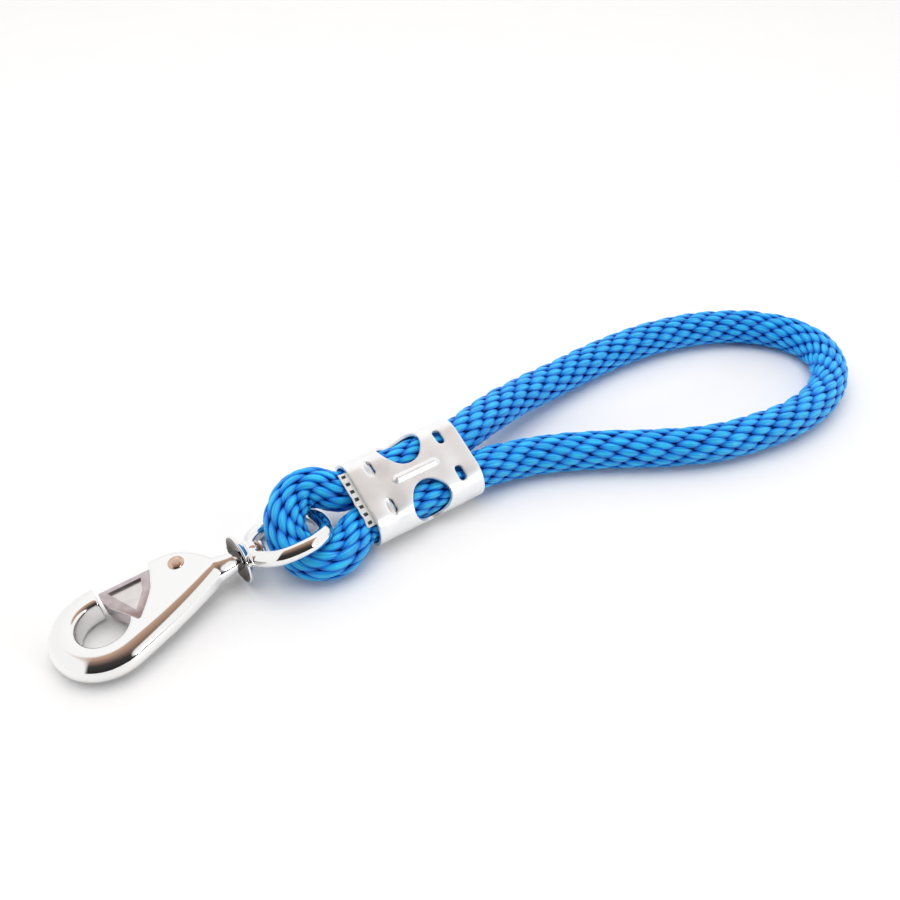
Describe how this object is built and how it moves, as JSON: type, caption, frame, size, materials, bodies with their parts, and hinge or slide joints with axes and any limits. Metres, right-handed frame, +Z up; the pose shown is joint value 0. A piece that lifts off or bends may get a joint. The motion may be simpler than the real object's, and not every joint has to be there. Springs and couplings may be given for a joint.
{
  "type": "rope handle with swivel snap hook",
  "caption": "Short braided rope handle with a hand loop, a stamped metal rope clamp and a swivel snap hook linked through a small eye.",
  "frame": {"origin": "on the floor, under the middle of the box round the clamp, the swivel and the snap hook", "axes": "+X from the snap hook towards the hand loop, +Z up, lying flat as put down on a table"},
  "size_m": [0.2771, 0.0742, 0.0209],
  "materials": {
    "rope_blue": "braided filament yarn with a silky sheen",
    "clamp_plate": "bright zinc plated sheet steel",
    "label_white": "plain woven tape",
    "chrome": "polished nickel-chrome plate",
    "gate_plate": "satin nickel plate",
    "pin_steel": "satin steel",
    "spring_steel": "drawn spring wire"
  },
  "bodies": {
    "handle": {"rope": "rope_blue", "rope_clamp": "clamp_plate", "label_tab": "label_white"},
    "swivel_eye": {"swivel_ring": "chrome", "swivel_washer": "pin_steel"},
    "hook": {"hook_body": "chrome", "gate_pin": "pin_steel", "gate_spring": "spring_steel"},
    "gate_arm": {"gate": "gate_plate"}
  },
  "joints": [
    {"name": "eye_swing", "type": "hinge", "parent": "handle", "child": "swivel_eye", "pos_m": [0.00423, -0.00135, 0.00958], "axis": [-0.0468, 0.4481, 0.8928], "range_deg": [-6, 10]},
    {"name": "swivel_spin", "type": "hinge", "parent": "swivel_eye", "child": "hook", "pos_m": [-0.0098, 0.001, 0.00765], "axis": [0.997, -0.0348, 0.0698], "continuous": true},
    {"name": "gate_pivot", "type": "hinge", "parent": "hook", "child": "gate_arm", "pos_m": [-0.02535, 0.00735, 0.00655], "axis": [-0.0697, 0.0024, 0.9976], "range_deg": [0, 16], "stiffness_Nm_per_rad": 0.12, "springref_deg": -28.65}
  ]
}
